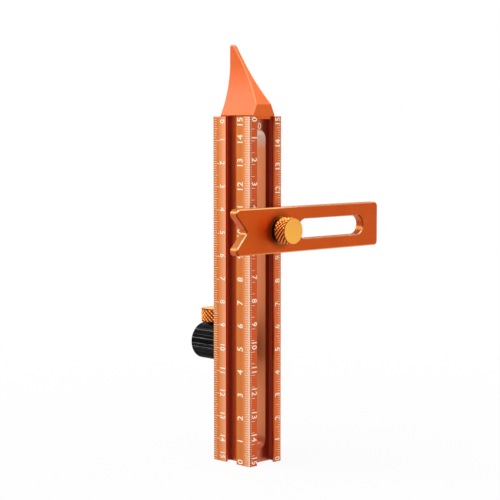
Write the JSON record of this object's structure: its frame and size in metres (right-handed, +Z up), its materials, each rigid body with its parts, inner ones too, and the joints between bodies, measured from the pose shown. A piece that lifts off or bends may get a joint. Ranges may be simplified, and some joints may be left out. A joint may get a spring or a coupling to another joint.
{
  "type": "marking ruler",
  "caption": "Slotted metal rule standing on end, with a pointed tip, a notched marking blade on a sliding screw clamp and a knurled pencil holder on the back.",
  "frame": {"origin": "centre of the bar's bottom end face, on which the ruler stands", "axes": "+Z up the bar, -Y out of the side that carries the blade, +X towards the blade's long end"},
  "size_m": [0.0876, 0.056, 0.1808],
  "materials": {
    "bar_anodised": "satin orange anodised",
    "blade_anodised": "satin orange anodised",
    "tip_coated": "matt orange coating",
    "brass": "turned and knurled",
    "black_anodised": "black anodised",
    "black_steel": "black oxide steel",
    "zinc_steel": "zinc plated",
    "black_nylon": "moulded",
    "magnet_nickel": "nickel plated"
  },
  "bodies": {
    "bar": {"ruler_bar": "bar_anodised", "pointer_tip": "tip_coated", "tip_grub_screw": "black_steel", "base_magnet": "magnet_nickel"},
    "blade_carriage": {"blade_tee_nut": "zinc_steel", "blade_standoff": "black_anodised", "blade_friction_washer": "black_nylon"},
    "blade": {"marking_blade": "blade_anodised"},
    "blade_washer": {"blade_flat_washer": "brass"},
    "blade_screw": {"blade_screw_stud": "black_steel", "blade_thumb_screw": "brass"},
    "holder_carriage": {"holder_tee_sleeve": "black_anodised"},
    "holder_washer": {"holder_flat_washer": "black_nylon"},
    "holder_collar": {"holder_collar": "black_anodised"},
    "holder_pad": {"holder_clamp_pad": "black_nylon"},
    "holder_screw": {"holder_screw_stud": "black_steel", "holder_thumb_screw": "brass"}
  },
  "joints": [
    {"name": "blade_slide", "type": "slide", "parent": "bar", "child": "blade_carriage", "axis": [0, 0, 1], "range_m": [-0.0896, 0.0354]},
    {"name": "blade_swing", "type": "hinge", "parent": "blade_carriage", "child": "blade", "pos_m": [0, -0.0178, 0.10195], "axis": [0, 1, 0], "continuous": true},
    {"name": "blade_screw_lift", "type": "slide", "parent": "blade_carriage", "child": "blade_washer", "axis": [0, -1, 0], "range_m": [0, 0.0016]},
    {"name": "blade_screw_turn", "type": "hinge", "parent": "blade_washer", "child": "blade_screw", "pos_m": [0, -0.0225, 0.10195], "axis": [0, -1, 0], "range_deg": [0, 720]},
    {"name": "holder_slide", "type": "slide", "parent": "bar", "child": "holder_carriage", "axis": [0, 0, 1], "range_m": [-0.0405, 0.0892]},
    {"name": "collar_lift", "type": "slide", "parent": "holder_carriage", "child": "holder_washer", "axis": [0, 1, 0], "range_m": [0, 0.001]},
    {"name": "collar_turn", "type": "hinge", "parent": "holder_washer", "child": "holder_collar", "pos_m": [0, 0.02, 0.0503], "axis": [0, 1, 0], "range_deg": [0, 360]},
    {"name": "clamp_screw_lift", "type": "slide", "parent": "holder_collar", "child": "holder_pad", "axis": [0, 0, 1], "range_m": [-0.0007, 0.0014]},
    {"name": "clamp_screw_turn", "type": "hinge", "parent": "holder_pad", "child": "holder_screw", "pos_m": [0, 0.0215, 0.06], "axis": [0, 0, 1], "range_deg": [-360, 720]}
  ],
  "couplings": [
    {"joint": "blade_screw_lift", "follows": "blade_screw_turn", "m_per_rad": 0.0001273},
    {"joint": "collar_lift", "follows": "collar_turn", "m_per_rad": 0.0001591},
    {"joint": "clamp_screw_lift", "follows": "clamp_screw_turn", "m_per_rad": 0.0001114}
  ]
}
